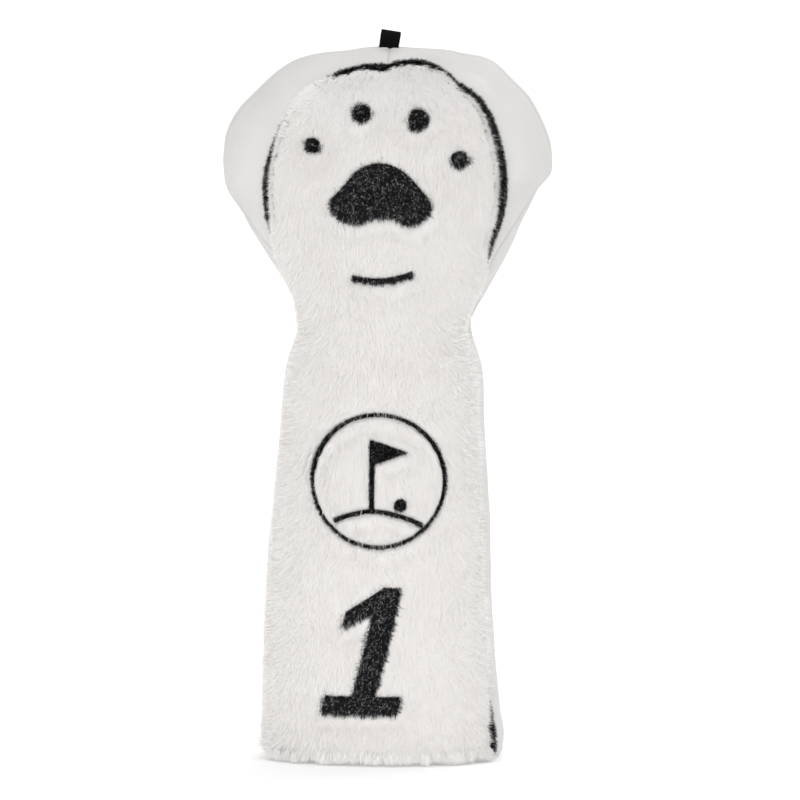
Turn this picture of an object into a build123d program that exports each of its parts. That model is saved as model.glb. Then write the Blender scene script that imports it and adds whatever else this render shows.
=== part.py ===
from build123d import *
import os
from math import radians, tan

# A driver head cover standing on its hem. +Z up, the fur front faces -Y, and the origin is
# on the ground under the middle of the cover's box. Millimetres.

# ---- The leather face of the cover ----
SHOULDER_Z = 297          # height of the widest line of the head
HEAD_HALF_WIDTH = 82
HEAD_MIDDLE_X = -0.5
HEAD_HALF_DEPTH = 34
HEAD_WIDEST_Y = 8         # the head is widest behind its middle
CROWN_RISE = 60.5         # crown above the widest line
CROWN_POWER = 2.15        # superellipse power of the crown
CROWN_FRACTIONS = (0.3, 0.55, 0.75, 0.89, 0.97, 0.992)
OPEN_END = 10             # bodies run this far below the hem and are trimmed there

# Height, half width, middle in X, half depth, and Y of the widest line, up to the shoulder
BODY_STATIONS = (
    (0, 58, -2.2, 31, 0),
    (6, 60.2, -2.4, 31.5, 0),
    (24, 59.4, -3, 31, 0),
    (65, 57.4, -4.4, 30, 0),
    (120, 54.6, -3.4, 29.5, 0),
    (165, 51.2, -2.4, 29, 0),
    (198, 48.8, -1.4, 28, 0),
    (221, 43, -1.4, 26.5, 0),
    (236, 49.6, -0.3, 28, 1.5),
    (254, 60.2, -0.6, 30.5, 3.5),
    (272, 69.9, -1.6, 32.5, 6),
    (286, 78.2, -2.8, 33.6, 7.4),
    (SHOULDER_Z, HEAD_HALF_WIDTH, HEAD_MIDDLE_X, HEAD_HALF_DEPTH, HEAD_WIDEST_Y),
)

# ---- Layers, measured inwards from the leather face ----
PILE_HEIGHT = 2           # the white pile stands proud of the leather
SHORT_PILE_HEIGHT = 1     # black trim and inlays stand less proud
SHELL = 1.5
ELASTIC = 1.5
PADDING = 3
LINING = 1.2
MIDDLE_Y = PILE_HEIGHT / 2    # centres the box of the cover, pile included

# ---- Seams ----
NECK_Z = 221
ELASTIC_HEIGHT = 14
HEM_FOLD = 1
HEM_HEIGHT = 15
LINING_START = 4
TRIM_WIDTH = 4.5
CROWN_SEAM_X = 1.5        # the two gussets meet here
CROWN_SEAM_Y = 2
TOP = 400                 # above everything
REACH = 120               # cutting shapes run this far out on each side

# Side seam, (y, z), from above the crown to below the hem
SIDE_SEAM = (
    (CROWN_SEAM_Y, TOP),
    (CROWN_SEAM_Y, SHOULDER_Z + CROWN_RISE),
    (HEAD_WIDEST_Y, SHOULDER_Z),
    (-8.4, 257),
    (-10.5, NECK_Z),
    (-10, -OPEN_END),
)

# Outline of the front panel on the head, (x, z): left side, two lobes at the crown, right side
OUTLINE_LEFT = (
    (-47, NECK_Z), (-49, 238), (-54, 257), (-58.6, 276), (-59.4, 292), (-55.6, 310), (-44, 331),
)
OUTLINE_LOBES = (((-44, 331), (-24, 346.5), (1.5, 350.8)), ((1.5, 350.8), (17, 352.6), (36, 342.4)))
OUTLINE_RIGHT = (
    (36, 342.4), (49.5, 332), (57.4, 314), (60.6, 294), (57.6, 273.5), (51.8, 257), (48, 238), (46, NECK_Z),
)
OUTLINE_MIDDLE_Z = 290
OUTLINE_HALF_WIDTH = 60

# ---- Black inlays of the front, (x, z) ----
TOE_PADS = (              # x, z, width, height
    (-34.4, 311.9, 9.8, 8.8),
    (-10.4, 328, 11.6, 9.4),
    (17.3, 325, 12, 11.6),
    (37.6, 305.7, 11.2, 9.4),
)
PALM_PAD = (
    (-1.5, 305), (9.2, 301.8), (18.2, 293.6), (25, 281.4), (20.6, 275.2), (13.2, 272), (5.6, 275.4),
    (-6.5, 274.8), (-13.5, 272.8), (-23.6, 276.6), (-27.4, 283), (-20.6, 292), (-12, 301.6),
)
MOUTH = ((-14, 246), (-1.5, 244.6), (14, 248.2))
MOUTH_STROKE = 3.2
BADGE_CENTRE = (-2.5, 143.5)
BADGE_RADIUS = 34.2
BADGE_LINE = 1.8
MOTIF_STROKE = 2.2
MOUND = ((-21, -5), (-3, 0), (21, -7))    # from the badge's middle in X and the pole's foot in Z
POLE_X = -3
POLE_HEIGHT = 36
POLE_BELOW_MIDDLE = 15.1
PENNANT_LENGTH = 18
PENNANT_HEIGHT = 13
BALL_X = 11
BALL_RADIUS = 3.1
NUMERAL_CENTRE = (-4, 58)
NUMERAL_HEIGHT = 66
NUMERAL_FOOT = 40
NUMERAL_STROKE = 13
NUMERAL_SERIF = 11
NUMERAL_TOP_LEFT = 3.9    # half the width of the stroke's top, left of its middle
FLAG_DROP = 13            # the flag's tip and its inner corner below the numeral's top
FLAG_CORNER_DROP = 15
NUMERAL_SLANT = 14        # degrees, clockwise from the front
NUMERAL_ROUNDING = 1.5
INLAY_REACH = 60          # inlay shapes are driven in from the front this far

# ---- Ribbon loop at the crown ----
RIBBON_WIDTH = 9.8
RIBBON_PLY = 0.8
LOOP_TILT = 8.7           # degrees, clockwise from the front
LOOP_X = 1
PIVOT_RISE = 2.2          # hinge line above the crown
EYE_RISE = 4.4            # middle of the loop's round end above the hinge line
EYE_START = 0.9           # the plies part this far above the hinge line
LOOP_END_RADIUS = 2.6
ANCHOR_DEPTH = 3.4        # the ribbon ends are sewn in this deep
HINGE_GAP = 0.4


def stations(inset):
    """Level sections of a body lying inset inside the leather face."""
    rows = []
    for z, half_width, middle, half_depth, widest in BODY_STATIONS:
        rows.append((z, half_width - inset, middle, half_depth - inset, widest))
    rows.insert(0, (-OPEN_END, *rows[0][1:]))
    for fraction in CROWN_FRACTIONS:
        ratio = (1 - fraction**CROWN_POWER) ** (1 / CROWN_POWER)
        z = SHOULDER_Z + fraction * (CROWN_RISE - inset)
        half_width = ratio * (HEAD_HALF_WIDTH - inset)
        half_depth = ratio * (HEAD_HALF_DEPTH - inset)
        rows.append((z, half_width, ratio * HEAD_MIDDLE_X, half_depth, ratio * HEAD_WIDEST_Y))
    return rows


def cover_body(inset):
    """Closed body whose surface lies inset inside the leather face."""
    with BuildPart() as body:
        for z, half_width, middle, half_depth, widest in stations(inset):
            centre = (middle, MIDDLE_Y + widest)
            front_reach = half_depth + widest
            back_reach = half_depth - widest
            with BuildSketch(Plane.XY.offset(z)):
                with BuildLine():
                    EllipticalCenterArc(centre, half_width, front_reach, start_angle=180, arc_size=180)
                    EllipticalCenterArc(centre, half_width, back_reach, start_angle=0, arc_size=180)
                make_face()
        loft()
    return body.part


def layer(outer, inner):
    """The closed shell between two bodies."""
    with BuildPart() as shell:
        add(outer)
        add(inner, mode=Mode.SUBTRACT)
    return shell.part


def back_region(forward=0):
    """Everything behind the side seam, moved forward by some millimetres."""
    corners = [(y - forward, z) for y, z in SIDE_SEAM]
    with BuildPart() as region:
        with BuildSketch(Plane.YZ):
            with BuildLine():
                Polyline(*corners, (REACH, -OPEN_END), (REACH, TOP), close=True)
            make_face()
        extrude(amount=REACH, both=True)
    return region.part


def drawn_in(points, inset):
    """Points of the front panel's outline, drawn in towards its middle."""
    share = 1 - inset / OUTLINE_HALF_WIDTH
    return [(x * share, z + min(0, OUTLINE_MIDDLE_Z - z) * (1 - share)) for x, z in points]


def front_region(inset=0):
    """Everything in front of the side seam and inside the front panel's outline."""
    left = drawn_in(OUTLINE_LEFT, inset)
    right = drawn_in(OUTLINE_RIGHT, inset)
    sleeve_corners = ((REACH, NECK_Z), (REACH, -OPEN_END), (-REACH, -OPEN_END), (-REACH, NECK_Z))
    with BuildPart() as region:
        with BuildSketch(Plane.XZ):
            with BuildLine():
                Spline(*left)
                for lobe in OUTLINE_LOBES:
                    Spline(*drawn_in(lobe, inset))
                Spline(*right)
                Polyline(right[-1], *sleeve_corners, left[0])
            make_face()
        extrude(amount=REACH, both=True)
        add(back_region(inset), mode=Mode.SUBTRACT)
    return region.part


def level_band(low, high):
    """Everything between two heights."""
    with BuildPart() as band:
        with Locations((0, 0, low)):
            Box(2 * REACH, 2 * REACH, high - low, align=(Align.CENTER, Align.CENTER, Align.MIN))
    return band.part


def side_region(side):
    """Everything on one side of the crown seam: -1 is left, 1 is right."""
    with BuildPart() as region:
        with Locations((CROWN_SEAM_X + side * REACH / 2, 0, TOP / 2)):
            Box(REACH, 2 * REACH, TOP + 2 * OPEN_END)
    return region.part


def keep(*regions):
    """Trim the part being built to some regions."""
    for region in regions:
        add(region, mode=Mode.INTERSECT)


def clear(*regions):
    """Take some regions away from the part being built."""
    for region in regions:
        add(region, mode=Mode.SUBTRACT)


def slanted(points):
    """Points of the numeral, slanted about its middle."""
    return [(x + z * tan(radians(NUMERAL_SLANT)), z) for x, z in points]


def write(piece, name):
    """Label a finished piece and write its file."""
    piece.part.label = name
    export_step(piece.part, f"parts/{name}.step")
    print(f"{name:28s}{piece.part.volume:12.0f} mm3 {len(piece.part.solids())} solid(s)")


os.makedirs("parts", exist_ok=True)

# ---- Bodies, layers and regions ----
fur_body = cover_body(-PILE_HEIGHT)
short_pile_body = cover_body(-SHORT_PILE_HEIGHT)
leather_body = cover_body(0)
shell_inner = cover_body(SHELL)
elastic_inner = cover_body(SHELL + ELASTIC)
padding_inner = cover_body(SHELL + PADDING)
lining_inner = cover_body(SHELL + PADDING + LINING)

fur_layer = layer(fur_body, shell_inner)
trim_layer = layer(short_pile_body, shell_inner)
inlay_layer = layer(short_pile_body, leather_body)
leather_layer = layer(leather_body, shell_inner)
elastic_layer = layer(shell_inner, elastic_inner)
casing_layer = layer(elastic_inner, padding_inner)
padding_layer = layer(shell_inner, padding_inner)
lining_layer = layer(padding_inner, lining_inner)

front = front_region()
front_inside_trim = front_region(TRIM_WIDTH)
back = back_region()
left_side = side_region(-1)
right_side = side_region(1)
elastic_low = NECK_Z - ELASTIC_HEIGHT / 2
elastic_high = NECK_Z + ELASTIC_HEIGHT / 2
above_ground = level_band(0, TOP)
hem_band = level_band(HEM_FOLD, HEM_HEIGHT)
sleeve_band = level_band(0, NECK_Z)
head_band = level_band(NECK_Z, TOP)
elastic_band = level_band(elastic_low, elastic_high)
sleeve_padding_band = level_band(HEM_HEIGHT, elastic_low)
head_padding_band = level_band(elastic_high, TOP)
sleeve_lining_band = level_band(LINING_START, NECK_Z)

# ---- Ribbon loop: a closed teardrop that folds about its pressed lower edge ----
tilt = radians(LOOP_TILT)
crown_z = SHOULDER_Z + CROWN_FRACTIONS[-1] * CROWN_RISE
hinge_point = Vector(LOOP_X, CROWN_SEAM_Y, crown_z + PIVOT_RISE)
ribbon_direction = Vector(1, 0, 0).rotate(Axis.Y, LOOP_TILT)
loop_plane = Plane(hinge_point, x_dir=(0, 1, 0), z_dir=ribbon_direction)
eye_radius = LOOP_END_RADIUS - RIBBON_PLY

with BuildPart() as hang_loop:
    with BuildSketch(loop_plane):
        Circle(RIBBON_PLY)
        with Locations((0, EYE_RISE)):
            Circle(LOOP_END_RADIUS)
        make_hull()
    extrude(amount=RIBBON_WIDTH / 2, both=True)
    with BuildSketch(loop_plane):
        with Locations((0, EYE_START)):
            Circle(EYE_START * eye_radius / EYE_RISE)
        with Locations((0, EYE_RISE)):
            Circle(eye_radius)
        make_hull()
    extrude(amount=RIBBON_WIDTH / 2, both=True, mode=Mode.SUBTRACT)

with BuildPart() as loop_anchor:
    anchor_top = -RIBBON_PLY - HINGE_GAP
    anchor_length = PIVOT_RISE + ANCHOR_DEPTH + anchor_top
    with BuildSketch(loop_plane):
        with Locations((0, anchor_top)):
            Rectangle(2 * RIBBON_PLY, anchor_length, align=(Align.CENTER, Align.MAX))
    extrude(amount=RIBBON_WIDTH / 2, both=True)

# ---- Black inlays ----
inlays = {}
for number, (x, z, width, height) in enumerate(TOE_PADS, start=1):
    with BuildPart() as toe_pad:
        with BuildSketch(Plane.XZ):
            with Locations((x, z)):
                Ellipse(width / 2, height / 2)
        extrude(amount=INLAY_REACH)
    inlays[f"toe_pad_{number}"] = toe_pad

with BuildPart() as palm_pad:
    with BuildSketch(Plane.XZ):
        with BuildLine():
            Spline(*PALM_PAD, periodic=True)
        make_face()
    extrude(amount=INLAY_REACH)
inlays["palm_pad"] = palm_pad

mouth_line = ThreePointArc(*MOUTH)
with BuildPart() as mouth_stripe:
    with BuildSketch(Plane.XZ):
        SlotArc(mouth_line, MOUTH_STROKE)
    extrude(amount=INLAY_REACH)
inlays["mouth_stripe"] = mouth_stripe

badge_plane = Plane.XZ.shift_origin((BADGE_CENTRE[0], 0, BADGE_CENTRE[1]))
with BuildPart() as badge_ring:
    with BuildSketch(badge_plane):
        Circle(BADGE_RADIUS)
        Circle(BADGE_RADIUS - BADGE_LINE, mode=Mode.SUBTRACT)
    extrude(amount=INLAY_REACH)
inlays["badge_ring"] = badge_ring

# A flag on a mound with a ball
pole_foot = -POLE_BELOW_MIDDLE
pole_top = pole_foot + POLE_HEIGHT
mound_line = ThreePointArc(*((x, pole_foot + z) for x, z in MOUND))
with BuildPart() as badge_motif:
    with BuildSketch(badge_plane):
        SlotArc(mound_line, MOTIF_STROKE)
        with Locations((POLE_X, pole_foot)):
            Rectangle(MOTIF_STROKE, POLE_HEIGHT, align=(Align.CENTER, Align.MIN))
        with BuildLine():
            Polyline(
                (POLE_X, pole_top),
                (POLE_X + PENNANT_LENGTH, pole_top - PENNANT_HEIGHT / 2),
                (POLE_X, pole_top - PENNANT_HEIGHT),
                close=True,
            )
        make_face()
        with Locations((BALL_X, pole_foot + BALL_RADIUS)):
            Circle(BALL_RADIUS)
    extrude(amount=INLAY_REACH)
inlays["badge_motif"] = badge_motif

numeral_plane = Plane.XZ.shift_origin((NUMERAL_CENTRE[0], 0, NUMERAL_CENTRE[1]))
half_stroke = NUMERAL_STROKE / 2
half_height = NUMERAL_HEIGHT / 2
half_foot = NUMERAL_FOOT / 2
serif_top = -half_height + NUMERAL_SERIF
with BuildPart() as numeral_one:
    with BuildSketch(numeral_plane):
        with BuildLine():
            Polyline(
                *slanted((
                    (half_stroke, half_height),
                    (-NUMERAL_TOP_LEFT, half_height),
                    (-half_foot, half_height - FLAG_DROP),
                    (-half_foot, half_height - FLAG_DROP - NUMERAL_SERIF),
                    (-half_stroke, half_height - FLAG_CORNER_DROP),
                    (-half_stroke, serif_top),
                    (-half_foot, serif_top),
                    (-half_foot, -half_height),
                    (half_foot, -half_height),
                    (half_foot, serif_top),
                    (half_stroke, serif_top),
                )),
                close=True,
            )
        numeral_face = make_face()
        fillet(numeral_face.vertices(), NUMERAL_ROUNDING)
    extrude(amount=INLAY_REACH)
inlays["numeral_one"] = numeral_one

with BuildPart() as inlay_pockets:
    for prism in inlays.values():
        add(prism.part)
    clear(leather_body)

# ---- Outer shell ----
with BuildPart() as front_fur_panel:
    add(fur_layer)
    keep(above_ground, front_inside_trim)
    clear(inlay_pockets.part)

with BuildPart() as fur_trim:
    add(trim_layer)
    keep(above_ground, front)
    clear(front_inside_trim)

with BuildPart() as fur_trim_left:
    add(fur_trim.part)
    keep(left_side)

with BuildPart() as fur_trim_right:
    add(fur_trim.part)
    keep(right_side)

with BuildPart() as gussets:
    add(leather_layer)
    keep(head_band)
    clear(front, back, loop_anchor.part)

with BuildPart() as gusset_left:
    add(gussets.part)
    keep(left_side)

with BuildPart() as gusset_right:
    add(gussets.part)
    keep(right_side)

with BuildPart() as head_back_panel:
    add(leather_layer)
    keep(head_band, back)
    clear(loop_anchor.part)

with BuildPart() as sleeve_back_panel:
    add(leather_layer)
    keep(sleeve_band, back)

# ---- Padding, elastic and hem ----
with BuildPart() as head_padding:
    add(padding_layer)
    keep(head_padding_band)
    clear(loop_anchor.part)

with BuildPart() as head_padding_front:
    add(head_padding.part)
    keep(front)

with BuildPart() as head_padding_back:
    add(head_padding.part)
    keep(back)

with BuildPart() as head_padding_gusset_left:
    add(head_padding.part)
    keep(left_side)
    clear(front, back)

with BuildPart() as head_padding_gusset_right:
    add(head_padding.part)
    keep(right_side)
    clear(front, back)

with BuildPart() as neck_elastic:
    add(elastic_layer)
    keep(elastic_band)

with BuildPart() as elastic_casing:
    add(casing_layer)
    keep(elastic_band)

with BuildPart() as sleeve_padding_front:
    add(padding_layer)
    keep(sleeve_padding_band)
    clear(back)

with BuildPart() as sleeve_padding_back:
    add(padding_layer)
    keep(sleeve_padding_band, back)

with BuildPart() as hem_facing_front:
    add(padding_layer)
    keep(hem_band)
    clear(back)

with BuildPart() as hem_facing_back:
    add(padding_layer)
    keep(hem_band, back)

# ---- Lining ----
with BuildPart() as head_lining_front:
    add(lining_layer)
    keep(head_band)
    clear(back)

with BuildPart() as head_lining_back:
    add(lining_layer)
    keep(head_band, back)

with BuildPart() as sleeve_lining_front:
    add(lining_layer)
    keep(sleeve_lining_band)
    clear(back)

with BuildPart() as sleeve_lining_back:
    add(lining_layer)
    keep(sleeve_lining_band, back)

for name, prism in inlays.items():
    with BuildPart() as inlay:
        add(prism.part)
        keep(inlay_layer)
    write(inlay, name)

write(front_fur_panel, "front_fur_panel")
write(fur_trim_left, "fur_trim_left")
write(fur_trim_right, "fur_trim_right")
write(gusset_left, "gusset_left")
write(gusset_right, "gusset_right")
write(head_back_panel, "head_back_panel")
write(sleeve_back_panel, "sleeve_back_panel")
write(hang_loop, "hang_loop")
write(loop_anchor, "loop_anchor")
write(head_padding_front, "head_padding_front")
write(head_padding_gusset_left, "head_padding_gusset_left")
write(head_padding_gusset_right, "head_padding_gusset_right")
write(head_padding_back, "head_padding_back")
write(sleeve_padding_front, "sleeve_padding_front")
write(sleeve_padding_back, "sleeve_padding_back")
write(neck_elastic, "neck_elastic")
write(elastic_casing, "elastic_casing")
write(hem_facing_front, "hem_facing_front")
write(hem_facing_back, "hem_facing_back")
write(head_lining_front, "head_lining_front")
write(head_lining_back, "head_lining_back")
write(sleeve_lining_front, "sleeve_lining_front")
write(sleeve_lining_back, "sleeve_lining_back")

print("hinge point", hinge_point, "axis", ribbon_direction)
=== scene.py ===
import math

import bmesh
import bpy
import numpy as np
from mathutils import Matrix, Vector


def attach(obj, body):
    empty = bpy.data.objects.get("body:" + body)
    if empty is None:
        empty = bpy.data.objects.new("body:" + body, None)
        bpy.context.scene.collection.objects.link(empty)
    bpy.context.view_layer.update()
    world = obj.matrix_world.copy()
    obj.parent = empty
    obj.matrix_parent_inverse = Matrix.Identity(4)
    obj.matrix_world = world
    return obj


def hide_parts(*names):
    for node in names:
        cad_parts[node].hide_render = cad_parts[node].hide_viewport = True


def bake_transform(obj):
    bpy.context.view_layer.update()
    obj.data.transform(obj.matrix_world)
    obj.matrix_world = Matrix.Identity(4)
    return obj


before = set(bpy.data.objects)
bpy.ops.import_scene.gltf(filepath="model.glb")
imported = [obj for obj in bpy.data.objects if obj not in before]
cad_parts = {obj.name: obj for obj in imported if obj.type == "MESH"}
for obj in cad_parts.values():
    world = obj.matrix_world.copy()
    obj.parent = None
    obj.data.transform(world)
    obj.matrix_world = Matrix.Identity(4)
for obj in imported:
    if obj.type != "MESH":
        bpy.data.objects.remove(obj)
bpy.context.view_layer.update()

MM = 0.001
COVER = "cover"
rng = np.random.default_rng(460)

# ---- Shape of the cover: the same driving dimensions as the CAD part, in millimetres ----
SHOULDER_Z = 297
HEAD_HALF_WIDTH = 82
HEAD_MIDDLE_X = -0.5
HEAD_HALF_DEPTH = 34
HEAD_WIDEST_Y = 8
CROWN_RISE = 60.5
CROWN_POWER = 2.15
MIDDLE_Y = 1
NECK_Z = 221
HEM_HEIGHT = 15
TRIM_WIDTH = 4.5
CROWN_SEAM_X = 1.5
CROWN_SEAM_Y = 2

# Height, half width, middle in X, half depth, Y of the widest line
BODY_STATIONS = np.array((
    (-10, 58, -2.2, 31, 0),
    (0, 58, -2.2, 31, 0),
    (6, 60.2, -2.4, 31.5, 0),
    (24, 59.4, -3, 31, 0),
    (65, 57.4, -4.4, 30, 0),
    (120, 54.6, -3.4, 29.5, 0),
    (165, 51.2, -2.4, 29, 0),
    (198, 48.8, -1.4, 28, 0),
    (221, 43, -1.4, 26.5, 0),
    (236, 49.6, -0.3, 28, 1.5),
    (254, 60.2, -0.6, 30.5, 3.5),
    (272, 69.9, -1.6, 32.5, 6),
    (286, 78.2, -2.8, 33.6, 7.4),
    (SHOULDER_Z, HEAD_HALF_WIDTH, HEAD_MIDDLE_X, HEAD_HALF_DEPTH, HEAD_WIDEST_Y),
))
CROWN_TOP = SHOULDER_Z + CROWN_RISE

SIDE_SEAM = np.array((
    (-10, -10), (-10.5, NECK_Z), (-8.4, 257), (HEAD_WIDEST_Y, SHOULDER_Z), (CROWN_SEAM_Y, CROWN_TOP),
))

OUTLINE_LEFT = ((-47, NECK_Z), (-49, 238), (-54, 257), (-58.6, 276), (-59.4, 292), (-55.6, 310), (-44, 331))
OUTLINE_LOBES = (((-44, 331), (-24, 346.5), (1.5, 350.8)), ((1.5, 350.8), (17, 352.6), (36, 342.4)))
OUTLINE_RIGHT = (
    (36, 342.4), (49.5, 332), (57.4, 314), (60.6, 294), (57.6, 273.5), (51.8, 257), (48, 238), (46, NECK_Z),
)

TOE_PADS = (
    (-34.4, 311.9, 9.8, 8.8),
    (-10.4, 328, 11.6, 9.4),
    (17.3, 325, 12, 11.6),
    (37.6, 305.7, 11.2, 9.4),
)
PALM_PAD = (
    (-1.5, 305), (9.2, 301.8), (18.2, 293.6), (25, 281.4), (20.6, 275.2), (13.2, 272), (5.6, 275.4),
    (-6.5, 274.8), (-13.5, 272.8), (-23.6, 276.6), (-27.4, 283), (-20.6, 292), (-12, 301.6),
)
MOUTH = ((-14, 246), (-1.5, 244.6), (14, 248.2))
MOUTH_STROKE = 3.2
BADGE_CENTRE = np.array((-2.5, 143.5))
BADGE_RADIUS = 34.2
BADGE_LINE = 1.8
MOTIF_STROKE = 2.2
POLE_HEIGHT = 36
PENNANT_LENGTH = 18
PENNANT_HEIGHT = 13
BALL_RADIUS = 3.1
NUMERAL_CENTRE = np.array((-4, 58))
NUMERAL_HEIGHT = 66
NUMERAL_FOOT = 40
NUMERAL_STROKE = 13
NUMERAL_SERIF = 11
NUMERAL_SLANT = 14


def join(*parts):
    """Coordinates put together as the last axis of one array."""
    return np.stack(np.broadcast_arrays(*parts), axis=-1)


def hump(distance, spread):
    """A soft bump of height 1 over distance."""
    return np.exp(-((distance / spread) ** 2))


def cubic(t, span, start, start_slope, end, end_slope):
    """A smooth step of a curve from its values and slopes at both ends, t from 0 to 1."""
    return (
        (2 * t**3 - 3 * t**2 + 1) * start
        + (t**3 - 2 * t**2 + t) * span * start_slope
        + (3 * t**2 - 2 * t**3) * end
        + (t**3 - t**2) * span * end_slope
    )


def run_along(line):
    """Distance along a line of points."""
    return np.concatenate(((0,), np.cumsum(np.linalg.norm(np.diff(line, axis=0), axis=1))))


def smooth_steps(points, count=24, closed=False):
    """A smooth line through points: a cubic with averaged tangents, spaced by chord length."""
    p = np.array(points, float)
    if closed:
        p = np.vstack((p[-2:], p, p[:3]))
    chord = run_along(p)
    slope = np.gradient(p, chord, axis=0, edge_order=2)
    first, last = (2, len(p) - 3) if closed else (0, len(p) - 1)
    t = np.linspace(0, 1, count, endpoint=False)[:, None]
    pieces = [
        cubic(t, chord[i + 1] - chord[i], p[i], slope[i], p[i + 1], slope[i + 1]) for i in range(first, last)
    ]
    return np.vstack(pieces + [p[last][None]])


STATION_Z, STATIONS = BODY_STATIONS[:, 0], BODY_STATIONS[:, 1:]
STATION_SLOPES = np.gradient(STATIONS, STATION_Z, axis=0)
STATION_SLOPES[-1] = 0


def section(z):
    """Half width, middle in X, half depth and widest line of the leather face at each height."""
    z = np.asarray(z, float)
    body = np.clip(z, STATION_Z[0], STATION_Z[-1])
    i = np.clip(np.searchsorted(STATION_Z, body, side="right") - 1, 0, len(STATION_Z) - 2)
    span = STATION_Z[i + 1] - STATION_Z[i]
    t = ((body - STATION_Z[i]) / span)[..., None]
    found = cubic(t, span[..., None], STATIONS[i], STATION_SLOPES[i], STATIONS[i + 1], STATION_SLOPES[i + 1])
    fraction = np.clip((z - SHOULDER_Z) / CROWN_RISE, 0, 1)
    ratio = (1 - fraction**CROWN_POWER) ** (1 / CROWN_POWER)
    return np.moveaxis(found * np.maximum(ratio, 1e-4)[..., None], -1, 0)


def seam_y(z):
    """Y of the side seam at each height."""
    return np.interp(z, SIDE_SEAM[:, 1], SIDE_SEAM[:, 0])


def reach_of(y, depth, widest):
    """Depth of a section to the front of its widest line, or to the back of it."""
    return np.where(y < 0, depth + widest, depth - widest)


def inside_measure(p):
    """Below 1 inside the leather face, above 1 outside it."""
    width, middle, depth, widest = section(p[..., 2])
    y = p[..., 1] - MIDDLE_Y - widest
    level = np.hypot((p[..., 0] - middle) / width, y / reach_of(y, depth, widest))
    return np.where(p[..., 2] > CROWN_TOP, 1 + p[..., 2] - CROWN_TOP + level, level)


def normal_at(p):
    """Outward unit normals of the leather face near points p."""
    step = 0.4
    gradient = np.zeros_like(p)
    for axis, shift in enumerate(step * np.eye(3)):
        gradient[..., axis] = inside_measure(p + shift) - inside_measure(p - shift)
    return unit(gradient)


def unit(v):
    return v / np.maximum(np.linalg.norm(v, axis=-1, keepdims=True), 1e-9)


def on_section(angle, z):
    """The point of the leather face at an angle about its section: 0 right, 90 back, 180 left, 270 front."""
    width, middle, depth, widest = section(z)
    s = np.sin(angle)
    x = middle + width * np.cos(angle)
    y = MIDDLE_Y + widest + reach_of(s, depth, widest) * s
    return join(x, y, z)


def seam_angle(z):
    """Angle of the right side seam about the section at each height."""
    _, _, depth, widest = section(z)
    y = seam_y(z) - MIDDLE_Y - widest
    return np.arcsin(np.clip(y / reach_of(y, depth, widest), -1, 1))


def front_point(x, z):
    """The point of the leather face straight behind a point of the front view."""
    width, middle, depth, widest = section(z)
    across = np.clip((x - middle) / width, -1, 1)
    y = MIDDLE_Y + widest - (depth + widest) * np.sqrt(1 - across**2)
    return join(x, y, z)


def front_root(q):
    """Points of the leather face behind points of the front view, and its normals there."""
    root = front_point(q[:, 0], q[:, 1])
    return root, normal_at(root)


def noise(p, scale, seed=0):
    """Smooth value noise, about -1 to 1, with features of the given size."""
    q = np.asarray(p, float) / scale + 37.7 + seed * 13.3
    cell = np.floor(q).astype(np.int64)
    t = q - cell
    t = t * t * (3 - 2 * t)
    total = np.zeros(q.shape[:-1])
    for corner in range(2 ** q.shape[-1]):
        weight = np.ones(q.shape[:-1])
        key = np.full(q.shape[:-1], seed * 7919 + 17, np.int64)
        for axis in range(q.shape[-1]):
            bit = corner >> axis & 1
            weight = weight * (t[..., axis] if bit else 1 - t[..., axis])
            key = key * 1000003 + cell[..., axis] + bit
        key = (key ^ (key >> 13)) * 1274126177 & 0x7FFFFFFF
        key = (key ^ (key >> 15)) * 668265263 & 0x7FFFFFFF
        total += weight * (key / 0x3FFFFFFF - 1)
    return total


# ---- Grids on the leather face ----
def heights(low, high, step):
    """Row heights from low to high, closing up towards the crown."""
    body = np.arange(low, min(high, SHOULDER_Z), step)
    if high <= SHOULDER_Z:
        return np.append(body, high)
    turn = np.linspace(0, math.pi / 2, int(CROWN_RISE * 1.45 / step))
    return np.concatenate((body, SHOULDER_Z + CROWN_RISE * np.sin(turn) ** (2 / CROWN_POWER)))


def rows(low, high, side, step, columns):
    """Grid of points between two heights: the back, the front or all the way round."""
    z = heights(low, high, step)[:, None]
    angle = seam_angle(z)
    first, last = {
        "back": (angle, math.pi - angle), "front": (math.pi - angle, 2 * math.pi + angle),
        "round": (0, 2 * math.pi),
    }[side]
    return on_section(first + (last - first) * np.linspace(0, 1, columns), z)


def polygon_reach(polygon, centre, turn):
    """Distance from centre to the polygon's edge in each direction."""
    (ax, az), (bx, bz) = (polygon[:-1] - centre).T, (polygon[1:] - centre).T
    dx, dz = np.cos(turn)[:, None], np.sin(turn)[:, None]
    cross = dx * (bz - az) - dz * (bx - ax)
    cross = np.where(np.abs(cross) < 1e-12, 1e-12, cross)
    t = (ax * (bz - az) - az * (bx - ax)) / cross
    s = (ax * dz - az * dx) / cross
    good = (t > 0) & (s >= -1e-9) & (s <= 1 + 1e-9)
    return np.where(good, t, np.inf).min(axis=1)


outline_left = smooth_steps(OUTLINE_LEFT)
outline_right = smooth_steps(OUTLINE_RIGHT)
outline = np.vstack((outline_left, *(smooth_steps(lobe) for lobe in OUTLINE_LOBES), outline_right))


def side_limits(z):
    """X of the front panel's two edges at each height, up to where the outline turns in."""
    left, right = on_section(math.pi - seam_angle(z), z)[..., 0], on_section(seam_angle(z), z)[..., 0]
    above = z > NECK_Z
    outline_x = np.interp(z, outline_left[:, 1], outline_left[:, 0])
    left = np.where(above, np.maximum(left, outline_x), left)
    outline_x = np.interp(z, outline_right[::-1, 1], outline_right[::-1, 0])
    return left, np.where(above, np.minimum(right, outline_x), right)


FAN_Z = 296


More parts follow.
